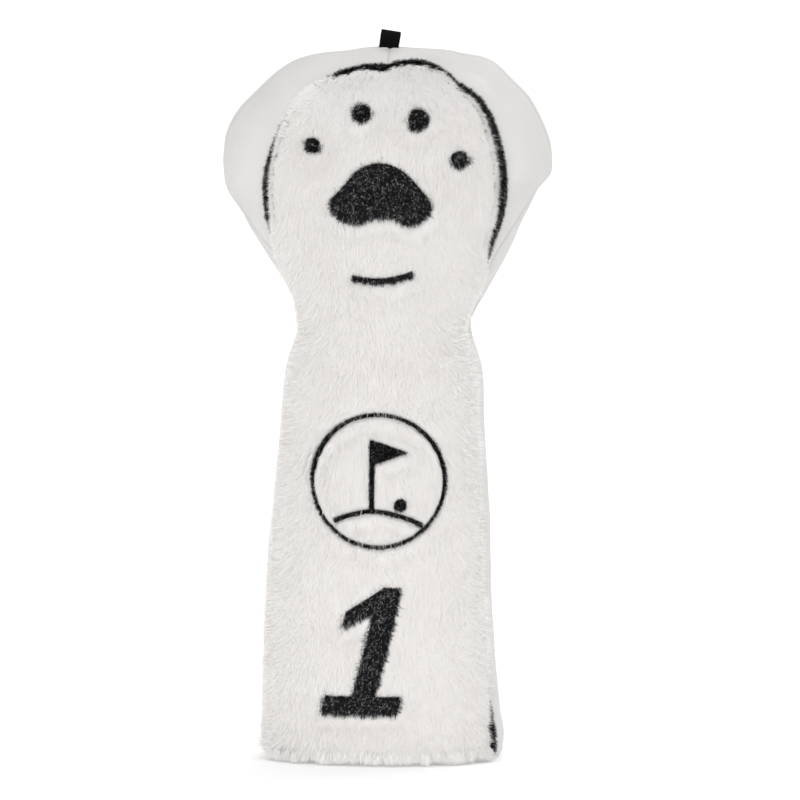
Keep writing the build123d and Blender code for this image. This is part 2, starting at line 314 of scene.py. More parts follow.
def grid_faces(n, m, closed=False):
    """Quads and border loops of a grid of n rows of m points."""
    faces = []
    for low in range(0, (n - 1) * m, m):
        for c in range(m if closed else m - 1):
            a, b = low + c, low + (c + 1) % m
            faces.append((a, b, b + m, a + m))
    first, last = [*range(m)], [*range(n * m - 1, (n - 1) * m - 1, -1)]
    if closed:
        return faces, [first, last]
    right, left = range(2 * m - 1, (n - 1) * m, m), range((n - 2) * m, 0, -m)
    return faces, [[*first, *right, *last, *left]]


def tube_faces(rings, sides):
    """Faces of a tube whose points run ring by ring, with both its ends."""
    faces, (first, last) = grid_faces(rings, sides, closed=True)
    return faces + [tuple(first[::-1]), tuple(last[::-1])]


def front_grid(rings, spokes, step, low):
    """The front panel's points, faces and rims: level rows, and a fan of spokes above them."""
    row_z = np.append(np.arange(low, FAN_Z, step), FAN_Z)
    u = np.linspace(-1, 1, 2 * rings + 1)
    left, right = side_limits(row_z)
    middle = (left + right) / 2
    x = middle[:, None] + u[None] * (right - left)[:, None] / 2
    body = front_point(x, row_z[:, None])
    centre = np.array((middle[-1], FAN_Z))
    turn = np.linspace(0, math.pi, spokes + 1)[1:-1]
    reach = polygon_reach(outline, centre, turn)
    ring = np.arange(1, rings + 1) / rings
    fan_x = centre[0] + ring * (reach * np.cos(turn))[:, None]
    fan_z = centre[1] + ring * (reach * np.sin(turn))[:, None]
    points = np.vstack((body.reshape(-1, 3), front_point(fan_x, fan_z).reshape(-1, 3)))
    columns = 2 * rings + 1
    start = len(row_z) * columns
    centre_index = start - columns + rings

    def spoke(i, k):
        """Index of ring k on spoke i, where the first and last spoke are the top level row."""
        if k == 0 or i in (0, spokes):
            return centre_index + (k if i == 0 else -k)
        return start + (i - 1) * rings + k - 1

    faces, _ = grid_faces(len(row_z), columns)
    for i in range(spokes):
        faces.append((spoke(i, 0), spoke(i, 1), spoke(i + 1, 1)))
        for k in range(1, rings):
            faces.append((spoke(i, k), spoke(i, k + 1), spoke(i + 1, k + 1), spoke(i + 1, k)))
    arch = [spoke(i, rings) for i in range(1, spokes)]
    left_edge, right_edge = range(start - columns, 0, -columns), range(2 * columns - 1, start, columns)
    return points, faces, [[*range(columns), *right_edge, *arch, *left_edge]]


HUB = np.array((0.0, 3.0, 285.0))
UNDERLAP = 4.0


def halved(low, high, like, rounds, before):
    """The last value from low to high at which before holds, for each element, by halving."""
    low, high = np.full_like(like, low), np.full_like(like, high)
    for _ in range(rounds):
        mid = (low + high) / 2
        held = before(mid)
        low, high = np.where(held, mid, low), np.where(held, high, mid)
    return low


def hub_hit(turn, rise):
    """Where a ray from the hub, at a turn in the front view and a rise towards the back, leaves the cover."""
    d = join(np.cos(rise) * np.cos(turn), np.sin(rise), np.cos(rise) * np.sin(turn))
    reach = halved(0.0, 120.0, d[..., 0], 40, lambda mid: inside_measure(HUB + d * mid[..., None]) < 1)
    return HUB + d * reach[..., None]


def band_rises(turn):
    """Rises of the front seam and the side seam in each direction from the hub."""
    reach = polygon_reach(outline, HUB[[0, 2]], turn)
    seam = front_point(HUB[0] + reach * np.cos(turn), HUB[2] + reach * np.sin(turn))
    front = np.arctan2(seam[:, 1] - HUB[1], reach)

    def before_seam(rise):
        p = hub_hit(turn, rise)
        return p[:, 1] < seam_y(p[:, 2])

    side = halved(-1.2, 1.2, turn, 30, before_seam)
    return np.minimum(front, side), side


def band(first, last, along, across):
    """Gusset grid from one direction about the hub to another, from under the fur to the side seam."""
    turn = np.linspace(first, last, along)
    front, side = band_rises(turn)
    reach = np.linalg.norm(hub_hit(turn, front) - HUB, axis=-1)
    start = front - UNDERLAP / reach
    u = np.linspace(0, 1, across)
    rise = start[:, None] + (side - start)[:, None] * u[None]
    p = hub_hit(turn[:, None], rise)
    to_front = np.maximum(0, (rise - front[:, None]) * reach[:, None])
    to_side = (side[:, None] - rise) * reach[:, None]
    return p, to_front, to_side


# ---- Mesh making ----
def add_object(name, data):
    obj = bpy.data.objects.new(name, data)
    bpy.context.scene.collection.objects.link(obj)
    return obj


def mesh_object(name, points, faces, material, smooth=True):
    """A mesh object from points in millimetres."""
    mesh = bpy.data.meshes.new(name)
    mesh.from_pydata((np.asarray(points) * MM).tolist(), [], [tuple(int(i) for i in f) for f in faces])
    mesh.validate()
    if smooth:
        mesh.shade_smooth()
    mesh.materials.append(material)
    return add_object(name, mesh)


WELD = 0.02


def weld(obj):
    """Joins points that lie together and makes the normals face out."""
    bm = bmesh.new()
    bm.from_mesh(obj.data)
    bmesh.ops.remove_doubles(bm, verts=bm.verts, dist=WELD * MM)
    bmesh.ops.dissolve_degenerate(bm, edges=bm.edges, dist=WELD * MM / 4)
    bmesh.ops.recalc_face_normals(bm, faces=bm.faces)
    bm.to_mesh(obj.data)
    bm.free()
    return obj


# The inner face of a sheet follows the outer face's bulges only this far
INNER_LIFT = 0.6


def sheet(name, grid, material, outer, inner, relief=0.0):
    """A solid sheet from depth outer to depth inner below the leather face, on points, faces and rims."""
    points, faces, rims = grid
    normal = normal_at(points)
    relief = np.broadcast_to(relief, len(points))[:, None]
    top = points + normal * (relief - outer)
    bottom = points + normal * (np.minimum(relief, INNER_LIFT) - inner)
    half = len(points)
    under = [tuple(half + i for i in face[::-1]) for face in faces]
    walls = [(a, half + a, half + b, b) for rim in rims for a, b in zip(rim, rim[1:] + rim[:1])]
    return weld(mesh_object(name, np.vstack((top, bottom)), faces + under + walls, material))


def shell(name, grid, material, relief, outer=0.0, inner=1.3, closed=False):
    """A solid sheet on rows of points, which meet their own starts where it is closed."""
    if closed:
        grid, relief = grid[:, :-1], relief[:, :-1]
    faces, rims = grid_faces(*grid.shape[:2], closed)
    return sheet(name, (grid.reshape(-1, 3), faces, rims), material, outer, inner, relief.ravel())


def place(obj, slot, *nodes):
    """A piece attached to the cover, with the CAD nodes it stands for hidden. The slot argument is not used.
    """
    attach(obj, COVER)
    if nodes:
        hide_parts(*nodes)
    return obj


# ---- Materials ----
def principled(name, colour, roughness, **sockets):
    """A material with constant values set on its shader."""
    made = bpy.data.materials.new(name)
    made.use_nodes = True
    shader = made.node_tree.nodes["Principled BSDF"]
    shader.inputs["Base Color"].default_value = (*colour, 1)
    shader.inputs["Roughness"].default_value = roughness
    for key, value in sockets.items():
        shader.inputs[key.replace("_", " ")].default_value = value
    return made, shader


def node(made, kind, settings=(), **inputs):
    """A node whose inputs are numbers, colours or other nodes' outputs."""
    found = made.node_tree.nodes.new(kind)
    for key, value in settings:
        setattr(found, key, value)
    for key, value in inputs.items():
        socket = found.inputs[key.replace("_", " ")]
        if isinstance(value, bpy.types.NodeSocket):
            made.node_tree.links.new(value, socket)
        else:
            socket.default_value = value
    return found


def ramp(made, factor, *stops):
    """A colour ramp over some grey or coloured stops."""
    found = node(made, "ShaderNodeValToRGB", Fac=factor)
    elements = found.color_ramp.elements
    while len(elements) < len(stops):
        elements.new(0.5)
    for element, (position, colour) in zip(elements, stops):
        element.position = position
        element.color = (*colour, 1)
    return found.outputs["Color"]


def place_of(made):
    return node(made, "ShaderNodeTexCoord").outputs["Object"]


def link(made, *pairs):
    for output, socket in pairs:
        made.node_tree.links.new(output, socket)


def bump(made, shader, height, distance, strength=1.0):
    found = node(made, "ShaderNodeBump", Height=height, Distance=distance, Strength=strength)
    link(made, (found.outputs["Normal"], shader.inputs["Normal"]))


def leather():
    """White coated leather: fine pebble grain, faint mottling, slightly uneven gloss."""
    made, shader = principled("white_leather_grain", (0.65, 0.645, 0.636), 0.46, Specular_IOR_Level=0.42)
    spot = place_of(made)
    mottle = node(made, "ShaderNodeTexNoise", Vector=spot, Scale=42.0, Detail=4.0).outputs["Fac"]
    tone = ramp(made, mottle, (0.3, (0.63, 0.618, 0.602)), (0.7, (0.67, 0.66, 0.646)))
    gloss = node(made, "ShaderNodeMapRange", Value=mottle, To_Min=0.4, To_Max=0.54).outputs["Result"]
    link(made, (tone, shader.inputs["Base Color"]), (gloss, shader.inputs["Roughness"]))
    pebble = node(made, "ShaderNodeTexVoronoi", (("feature", "DISTANCE_TO_EDGE"),), Vector=spot, Scale=950.0)
    rounded = node(made, "ShaderNodeMapRange", Value=pebble.outputs["Distance"], From_Max=0.22)
    pores = node(made, "ShaderNodeTexNoise", Vector=spot, Scale=2600.0, Detail=2.0).outputs["Fac"]
    both = node(made, "ShaderNodeMath", (("operation", "MULTIPLY_ADD"),))
    both.inputs[1].default_value = 0.5
    link(made, (pores, both.inputs[0]), (rounded.outputs["Result"], both.inputs[2]))
    bump(made, shader, both.outputs[0], 0.00007, 0.55)
    return made


def hair_material(name, shades, root_shade, roughness, **sockets):
    """Fur: across the map each hair's own tone, and up the map a painted shade that darkens each hair towards
    its root.
    """
    made, shader = principled(name, shades[0][1], roughness, **sockets)
    spot = node(made, "ShaderNodeUVMap", (("uv_map", "OFBake"),)).outputs["UV"]
    split = node(made, "ShaderNodeSeparateXYZ", Vector=spot)
    shade = ramp(made, split.outputs["X"], *shades)
    # Painted shade: the colour is darkened towards each hair's root, where the pile shades itself
    along = ramp(made, split.outputs["Y"], *root_shade)
    mixed = node(made, "ShaderNodeMix", (("data_type", "RGBA"), ("blend_type", "MULTIPLY")))
    mixed.inputs["Factor"].default_value = 1.0
    link(made, (shade, mixed.inputs[6]), (along, mixed.inputs[7]))
    link(made, (mixed.outputs[2], shader.inputs["Base Color"]))
    return made


def fabric(name, colour, roughness, pitch, depth, **sockets):
    """A knitted or woven fabric: fine crossing ribs of the given pitch in metres."""
    made, shader = principled(name, colour, roughness, **sockets)
    spot = place_of(made)
    ribs = {"Vector": spot, "Scale": 0.32 / pitch, "Distortion": 1.5}
    across = node(made, "ShaderNodeTexWave", Detail=2.0, **ribs)
    up = node(made, "ShaderNodeTexWave", (("bands_direction", "Z"),), **ribs)
    both = node(made, "ShaderNodeMath", (("operation", "MULTIPLY"),))
    link(made, (across.outputs["Fac"], both.inputs[0]), (up.outputs["Fac"], both.inputs[1]))
    bump(made, shader, both.outputs[0], depth)
    return made


LEATHER = leather()
WHITE_FUR = hair_material(
    "white_fur_pile",
    ((0.0, (0.87, 0.844, 0.824)), (0.5, (0.92, 0.9, 0.882)), (1.0, (0.955, 0.94, 0.926))),
    # Painted shade: white hairs slightly darker at the root
    ((0.0, (0.97, 0.97, 0.97)), (0.6, (1, 1, 1))),
    0.7,
    Specular_IOR_Level=0.3,
    Sheen_Weight=0.3,
)
BLACK_FUR = hair_material(
    "black_fur_pile",
    # Across the map: near black, up to light grey for the hairs that are painted highlights
    ((0.0, (0.004, 0.004, 0.005)), (0.6, (0.009, 0.009, 0.01)), (1.0, (0.4, 0.4, 0.41))),
    # Painted shade: black hairs much darker at the root
    ((0.0, (0.45, 0.45, 0.45)), (1.0, (1, 1, 1))),
    0.42,
    Specular_IOR_Level=0.25,
)
RIBBON = fabric("black_grosgrain", (0.003, 0.003, 0.0031), 0.8, 0.0004, 0.00005, Specular_IOR_Level=0.1)
THREAD, _ = principled("white_thread", (0.8, 0.79, 0.775), 0.5, Sheen_Weight=0.2)
PLUSH = fabric("grey_plush_lining", (0.6, 0.595, 0.58), 0.92, 0.0016, 0.0004, Sheen_Weight=0.4)
FOAM = fabric("foam_padding", (0.72, 0.7, 0.62), 0.9, 0.0009, 0.0002)
WEBBING = fabric("elastic_webbing", (0.68, 0.67, 0.65), 0.7, 0.0011, 0.00025)
TRICOT = fabric("tricot_casing", (0.62, 0.61, 0.6), 0.8, 0.0008, 0.0001)


# ---- Distances in the front view ----
def to_line(q, line):
    """Distance from points to a line of straight runs."""
    best = np.full(len(q), np.inf)
    for a, b in zip(line[:-1], line[1:]):
        run = b - a
        t = np.clip((q - a) @ run / max(run @ run, 1e-12), 0, 1)
        best = np.minimum(best, np.hypot(q[:, 0] - a[0] - t * run[0], q[:, 1] - a[1] - t * run[1]))
    return best


def to_shape(q, polygon):
    """Signed distance to a closed shape, negative inside."""
    ring = np.vstack((polygon, polygon[:1]))
    odd = np.zeros(len(q), bool)
    for a, b in zip(ring[:-1], ring[1:]):
        if a[1] != b[1]:
            crosses = (a[1] > q[:, 1]) != (b[1] > q[:, 1])
            odd ^= crosses & (q[:, 0] < (b[0] - a[0]) * (q[:, 1] - a[1]) / (b[1] - a[1]) + a[0])
    return np.where(odd, -1, 1) * to_line(q, ring)


# The roots of a pad's hairs stand inside its outline by this much, and the tips lean out to it
PAD_INSET = 0.9


def ellipse_points(x, z, width, height):
    turn = np.linspace(0, 2 * math.pi, 40, endpoint=False)
    return join(x + width / 2 * np.cos(turn), z + height / 2 * np.sin(turn))


def badge_motif(q):
    """A flag on a mound with a ball."""
    q = q - BADGE_CENTRE
    foot = -POLE_HEIGHT * 0.42
    top = foot + POLE_HEIGHT
    mound = smooth_steps(((-21, foot - 5), (-12, foot - 1.6), (-3, foot), (9, foot - 2), (21, foot - 7)), 8)
    pole = np.array(((-3, foot), (-3, top - MOTIF_STROKE / 2)))
    tip = (-3 + PENNANT_LENGTH, top - PENNANT_HEIGHT / 2)
    pennant = np.array(((-3, top), tip, (-3, top - PENNANT_HEIGHT)))
    ball = np.hypot(q[:, 0] - 11, q[:, 1] - foot - BALL_RADIUS) - BALL_RADIUS
    stroke = np.minimum(to_line(q, mound), to_line(q, pole)) - MOTIF_STROKE / 2
    return np.minimum(np.minimum(stroke, ball), to_shape(q, pennant))


def numeral(q):
    """A bold slanted 1 with a foot."""
    half_stroke, half_height, half_foot = NUMERAL_STROKE / 2, NUMERAL_HEIGHT / 2, NUMERAL_FOOT / 2
    serif = -half_height + NUMERAL_SERIF
    flag = half_height - 13
    points = np.array((
        (half_stroke, half_height), (-half_stroke * 0.6, half_height), (-half_foot, flag),
        (-half_foot, flag - NUMERAL_SERIF), (-half_stroke, half_height - 15), (-half_stroke, serif),
        (-half_foot, serif), (-half_foot, -half_height), (half_foot, -half_height), (half_foot, serif),
        (half_stroke, serif),
    ))
    points[:, 0] += points[:, 1] * math.tan(math.radians(NUMERAL_SLANT))
    return to_shape(q, points + NUMERAL_CENTRE) + PAD_INSET


BADGE_SQUEEZE = (0.97, 1)


def palm(q):
    return to_shape(q, smooth_steps(PALM_PAD, 8, closed=True)[:-1]) + PAD_INSET


def mouth(q):
    return to_line(q, smooth_steps(MOUTH, 8)) - MOUTH_STROKE / 2


def badge_ring(q):
    from_line = np.hypot(*((q - BADGE_CENTRE) / BADGE_SQUEEZE).T) - BADGE_RADIUS + BADGE_LINE / 2
    return np.abs(from_line) - BADGE_LINE / 2


# Black inlays: the CAD node of each, its distance function and the corners of its box in the front view
INKS = {"palm_fur": ("palm_pad", palm, (-30, 270), (28, 308))}
for number, pad in enumerate(TOE_PADS, start=1):
    x, z, width, height = pad
    INKS[f"toe_fur_{number}"] = (
        f"toe_pad_{number}", lambda q, pad=pad: to_shape(q, ellipse_points(*pad)) + PAD_INSET,
        (x - width, z - height), (x + width, z + height),
    )
INKS["mouth_fur"] = ("mouth_stripe", mouth, (-17, 242), (17, 251))
INKS["badge_ring_fur"] = ("badge_ring", badge_ring, (-38, 108), (33, 179))
INKS["badge_motif_fur"] = ("badge_motif", badge_motif, (-27, 118), (22, 167))
INKS["numeral_fur"] = ("numeral_one", numeral, (-36, 22), (28, 94))

sleeve_z = np.append(np.linspace(NECK_Z, 0, 34)[1:], -30)
sleeve_left, sleeve_right = side_limits(sleeve_z)
head_left, head_right = side_limits(outline_left[::-1, 1]), side_limits(outline_right[:, 1])
panel_edge = np.vstack((
    join(sleeve_left[::-1], sleeve_z[::-1]),
    join(np.maximum(outline_left[:, 0], head_left[0][::-1]), outline_left[:, 1]),
    *(smooth_steps(lobe, 12) for lobe in OUTLINE_LOBES),
    join(np.minimum(outline_right[:, 0], head_right[1]), outline_right[:, 1]),
    join(sleeve_right, sleeve_z),
))


def front_spots(low, high, step):
    """A grid of points of the front view."""
    x, z = (np.arange(low[axis], high[axis] + step, step) for axis in (0, 1))
    return join(x[:, None], z[None])


class Field:
    """Signed distances over the front view, kept on a grid with their slopes."""

    def __init__(self, measure, low, high, step):
        spots = front_spots(low, high, step)
        values = measure(spots.reshape(-1, 2)).reshape(spots.shape[:2])
        self.data = np.stack((values, *np.gradient(values, step)), axis=-1)
        self.low, self.step = np.array(low, float), step

    def at(self, q):
        """Distance and outward direction at each point."""
        cell = np.clip((q - self.low) / self.step, 0, np.array(self.data.shape[:2]) - 1.001)
        i, j = cell.astype(int).T
        tx, tz = cell[:, :1] - i[:, None], cell[:, 1:] - j[:, None]
        d = self.data
        found = (
            d[i, j] * (1 - tx) * (1 - tz) + d[i + 1, j] * tx * (1 - tz)
            + d[i, j + 1] * (1 - tx) * tz + d[i + 1, j + 1] * tx * tz
        )
        return found[:, 0], unit(found[:, 1:])


panel = Field(lambda q: to_shape(q, panel_edge), (-66, -4), (66, 356), 1.0)
measures = [row[1] for row in INKS.values()]
ink = Field(lambda q: np.min([measure(q) for measure in measures], axis=0), (-46, 16), (50, 344), 0.5)


def edge_turn(q):
    """Direction about the head's middle in degrees: 0 right, 90 up, 180 left."""
    turn = np.degrees(np.arctan2(q[:, 1] - HUB[2], q[:, 0]))
    return np.where(turn < -90, turn + 360, turn)


def trim_width(q):
    """Width of the black edging that shows, at points near the panel's edge."""
    head = np.interp(
        edge_turn(q),
        (-60, -40, -22, 0, 30, 45, 55, 64, 84, 90, 96, 110, 118, 128, 137, 147, 160, 175, 190, 200, 215, 240),
        (1, 1.8, 3.8, 4.8, 4.7, 4, 3, 2.2, 1.9, 2.8, 1.8, 1.6, 1, 0.7, 1.5, 2.2, 3.2, 3.9, 3.7, 2.4, 1.2, 1),
    )
    sleeve = np.where(q[:, 0] > 0, np.interp(q[:, 1], (0, 30, 45, 60), (4.2, 4.0, 2.6, 2.2)), 1.8)
    return np.where(q[:, 1] > NECK_Z, head, sleeve)


def trim_shows(q):
    """How much of the edging shows beside the white pile: 1 all of it, 0 hidden."""
    head = np.interp(
        edge_turn(q),
        (-48, -36, -27, 0, 112, 118, 128, 137, 147, 154, 162, 175, 190, 198, 206),
        (0.0, 0.3, 0.85, 1.0, 1.0, 0.5, 0.15, 0.5, 0.7, 0.9, 1.0, 1.0, 0.9, 0.4, 0.0),
    )
    right = np.interp(q[:, 1], (18, 32, 80, 110, 140, 155), (1, 0.1, 0.0, 0.3, 0.2, 0.0))
    return np.where(q[:, 1] > NECK_Z + 10, head, np.where(q[:, 0] > 0, right, 0))


# ---- Fur ----
HAIR_WIDTH = 0.26
LOWEST_HAIR = 0.4


def tangent(direction, normal):
    """Directions of the front view laid down on the surface."""
    flat = join(direction[:, 0], 0.0, direction[:, 1])
    return unit(flat - normal * np.sum(flat * normal, axis=-1, keepdims=True))


def blades(root, normal, along, reach, rise, width, tint, facing_share):
    """Tapering hairs that bend over: positions, triangles, normals and map places."""
    n = len(root)
    side = unit(np.cross(normal, along) + rng.normal(0, 0.3, (n, 3)))
    rise, reach = rise[:, None], reach[:, None]
    middle = root + normal * rise * 0.64 + along * reach * 0.36
    tip = root + normal * rise + along * reach
    half = side * (width / 2)[:, None]
    points = np.stack((root - half, root + half, middle - half * 0.75, middle + half * 0.75, tip), axis=1)
    points[..., 2] = np.maximum(points[..., 2], LOWEST_HAIR)
    facing = unit(np.cross(tip - root, side))
    facing *= np.sign(np.sum(facing * normal, axis=-1, keepdims=True)) + 1e-9
    soft = unit(normal + facing * facing_share)
    spread = side * facing_share
    normals = np.stack((soft - spread, soft + spread, soft - spread, soft + spread, soft), axis=1)
    base = (np.arange(n) * 5)[:, None, None]
    triangles = base + np.array(((0, 3, 1), (0, 2, 3), (2, 4, 3)))
    # Map places: the hair's tone across, and root to tip up, which drives the painted root shade
    spots = join(tint[:, None], np.array((0.02, 0.02, 0.6, 0.6, 0.98)))
    return points.reshape(-1, 3), triangles.reshape(-1, 3), unit(normals).reshape(-1, 3), spots.reshape(-1, 2)


def fur_object(name, parts, material):
    """One mesh from several sets of positions, triangles, normals and map places."""
    points, triangles, normals, spots = zip(*parts)
    starts = np.cumsum([0] + [len(p) for p in points[:-1]])
    triangles = np.vstack([t + start for t, start in zip(triangles, starts)]).astype(np.int32)
    points, normals, spots = np.vstack(points) * MM, np.vstack(normals), np.vstack(spots)
    mesh = bpy.data.meshes.new(name)
    mesh.vertices.add(len(points))
    mesh.vertices.foreach_set("co", points.astype(np.float32).ravel())
    mesh.loops.add(triangles.size)
    mesh.loops.foreach_set("vertex_index", triangles.ravel())
    mesh.polygons.add(len(triangles))
    mesh.polygons.foreach_set("loop_start", np.arange(0, triangles.size, 3, dtype=np.int32))
    mesh.update(calc_edges=True)
    layer = mesh.uv_layers.new(name="OFBake")
    layer.data.foreach_set("uv", spots[triangles.ravel()].astype(np.float32).ravel())
    mesh.validate()
    mesh.shade_smooth()
    mesh.normals_split_custom_set_from_vertices(normals.tolist())
    mesh.materials.append(material)
    return add_object(name, mesh)


# Heights of the black base cloth's two faces over the leather face
CLOTH_TOP, CLOTH_UNDER = 0.15, -0.5


def patch(measure, low, high, step):
    """Base cloth on the front face where measure is negative, its edge drawn to the zero line."""
    spots = front_spots(low, high, step)
    m = spots.shape[1]
    middles = (spots[:-1, :-1] + spots[1:, 1:]) / 2
    kept = measure(middles.reshape(-1, 2)).reshape(middles.shape[:2]) < 0
    i, j = np.nonzero(kept)
    corners = join(i * m + j, (i + 1) * m + j, (i + 1) * m + j + 1, i * m + j + 1)
    used, place_in = np.unique(corners, return_inverse=True)
    quads = place_in.reshape(corners.shape)
    q = spots.reshape(-1, 2)[used]
    edges = np.sort(join(quads, np.roll(quads, -1, axis=1)).reshape(-1, 2), axis=1)
    lines, counts = np.unique(edges, axis=0, return_counts=True)
    rim = lines[counts == 1]
    on_rim = np.unique(rim)
    for _ in range(2):
        here = q[on_rim]
        d = measure(here)
        shift = 0.05
        slope = join(measure(here + (shift, 0)) - d, measure(here + (0, shift)) - d)
        q[on_rim] = here - np.clip(d, -step, step)[:, None] * unit(slope)
    top_at, normal = front_root(q)
    n = len(q)
    points = np.vstack((top_at + normal * CLOTH_TOP, top_at + normal * CLOTH_UNDER))
    top = np.vstack((quads[:, [0, 1, 2]], quads[:, [0, 2, 3]]))
    a, b = rim.T
    walls = np.vstack((join(a, b, b + n), join(a, b + n, a + n)))
    triangles = np.vstack((top, top[:, ::-1] + n, walls))
    # The base cloth takes the map's root end, so the painted root shade darkens it too
    spots = np.tile((0.5, 0.05), (2 * n, 1))
    return points, triangles, np.vstack((normal, normal)), spots


def scatter(count, low, high, inside):
    """Random roots on the front face where inside says so, evenly over the real surface."""
    found = np.zeros((0, 2))
    while len(found) < count:
        q = rng.uniform(low, high, (count * 2, 2))
        q = q[inside(q)]
        facing = np.abs(front_root(q)[1][:, 1])
        found = np.vstack((found, q[rng.random(len(q)) < 0.35 / np.maximum(facing, 0.35)]))
    return found[:count]


# Share of black hairs painted light grey: a painted highlight standing in for the shine on black fur
GLINT_HAIR_SHARE = 0.065


def black_hairs(measure_at, q, depth, rise, splay, width, fall):
    """Short upright black hairs, which lean outwards within a depth of their shape's edge."""
    d, out = measure_at(q)
    root, normal = front_root(q)
    n = len(q)
    edge = np.clip(1 + d / depth, 0, 1)
    wander = rng.normal(0, 1, (n, 2)) + 0.8 * join(noise(root, 2.4, 3), noise(root, 2.4, 4))
    lean = out * edge[:, None] * 1.1 + wander * 0.5 * (1.1 - edge[:, None]) + (0, -fall)
    along = tangent(lean, normal)
    # Painted highlights: a few hairs get a light grey colour and are made longer and wider, in place of real
    # shine
    glint_hair = rng.random(n) < GLINT_HAIR_SHARE
    reach = splay * (0.55 + 0.45 * edge)
    reach *= np.where(glint_hair, rng.uniform(0.8, 1.25, n), rng.uniform(0.25, 1.1, n))
    reach *= 1 + 0.75 * noise(root, 1.5, 21)
    tall = rise * np.where(glint_hair, 1.12, rng.uniform(0.65, 1.08, n))
    tint = np.where(glint_hair, rng.uniform(0.65, 0.98, n), rng.uniform(0.02, 0.5, n))
    thick = width * rng.uniform(0.7, 1.2, n) * np.where(glint_hair, 1.4, 1)
    return blades(root, normal, along, reach, tall, thick, tint, 0.7)


FUR_HAIRS, FRINGE_HAIRS, TRIM_HAIRS = 390000, 9000, 34000
FUR_PIECES = 6
PILE_LENGTH = 6.6
PILE_LEAN = 62
SHORTEST = 0.08
BACKING_LOW = 5.6


def white_roots(q):
    d, _ = panel.at(q)
    return (d < -trim_width(q) * 0.9) & (ink.at(q)[0] > 0.1) & (q[:, 1] > BACKING_LOW)


def white_hairs(q):
    """The white pile: dense, combed down, turned outwards along the edge of the panel."""
    n = len(q)
    root, normal = front_root(q)
    d, out = panel.at(q)
    to_ink, _ = ink.at(q)
    near_edge = (np.exp((d + 4) / 6) * (1 - 0.92 * np.clip(out[:, 1], 0, 1) ** 2))[:, None]
    comb = join(0.35 * noise(root, 26, 1) + 0.3 * noise(root, 7, 2), -1.0)
    tuft = join(noise(root, 2.6, 5), noise(root, 2.6, 6))
    heading = comb * (1 - 0.8 * np.clip(near_edge, 0, 1)) + out * 1.25 * near_edge + 0.2 * tuft
    heading = unit(heading + rng.normal(0, 0.2, (n, 2)))
    band = noise(join(root[:, 0] / 5, root[:, 2]), 4.5, 7)
    length = PILE_LENGTH * (1 + 0.12 * noise(root, 5.5, 8) + 0.05 * band) * rng.uniform(0.78, 1.12, n)
    lean = np.radians(PILE_LEAN + 6 * noise(root, 9, 9) + 4 * band + rng.normal(0, 5, n))
    lean -= np.radians(17) * hump(to_ink - 3.6, 2.4)
    on_sleeve = np.clip((NECK_Z + 20 - q[:, 1]) / 30, 0, 1)
    fluff = on_sleeve * np.exp(d / 9) * np.where(q[:, 0] < 0, 1, 0.35)
    lean -= np.radians(14) * fluff
    length *= 1 + 0.16 * fluff
    at_hem = np.exp(-(q[:, 1] - BACKING_LOW) / 5)
    at_rim = np.clip(on_sleeve * np.exp(d / 4) + at_hem, 0, 1)
    stray = rng.random(n) < 0.01 + 0.12 * at_rim
    lean -= np.radians(20) * stray + np.radians(16) * at_hem * rng.random(n)
    length *= 1 + 0.6 * stray * rng.random(n) + 0.3 * at_hem * rng.random(n)
    reach, rise = length * np.sin(lean), length * np.cos(lean) * 0.82
    rise *= 1 - 0.3 * hump(to_ink, 1.6)
    shows = trim_shows(q)
    over = rng.gamma(1.3, 0.65, n) - 0.2 + (1 - shows) * rng.uniform(0.5, 3.2, n)
    limit = -trim_width(q) * np.maximum(shows, 0.3) + over
    outward = np.sum(heading * out, axis=-1)
    held = (outward > 0.05) & ((shows > 0.05) | (q[:, 1] > NECK_Z + 10))
    room = np.where(held, (limit - d) / (reach * np.maximum(outward, 0.05)), 1)
    falling = np.maximum(-heading[:, 1], 0.05)
    wisps = 1.7 + 1.9 * noise(join(q[:, 0], q[:, 1] / 9), 1.5, 20)
    drop = (q[:, 1] - np.maximum(wisps + rng.gamma(1.2, 0.9, n) - 0.6, LOWEST_HAIR)) / (reach * falling)
    share = np.clip(np.minimum(room, drop), SHORTEST, 1)
    on_badge = np.abs(q[:, 1] - BADGE_CENTRE[1]) < BADGE_RADIUS + 9
    gap = rng.normal(-0.1, 0.35, n) + 0.35 * on_badge
    close = np.nonzero(to_ink < 8.5)[0]
    for _ in range(9):
        for station in (0.25, 0.5, 0.75, 1.0):
            ahead = q[close] + heading[close] * (reach[close] * share[close] * station)[:, None]
            share[close] *= np.where(ink.at(ahead)[0] < gap[close], 0.78, 1)
    share = np.maximum(share, SHORTEST)
    rise += (1 - share) * 0.9
    reach *= share
    along = tangent(heading, normal)
    # Painted light: the pile's colour is made lighter towards the crown, standing in for light on the fur
    # there
    crown_painted_light = 0.35 * np.clip((q[:, 1] - 322) / 18, 0, 1)
    tint = 0.5 + crown_painted_light + 0.16 * noise(root, 18, 10) + 0.12 * noise(root, 4, 11) + rng.normal(0, 0.14, n)
    tint = np.clip(tint, 0.01, 0.99)
    width = HAIR_WIDTH * rng.uniform(0.7, 1.3, n)
    return blades(root - normal * 0.2, normal, along, reach, rise, width, tint, 0.22)


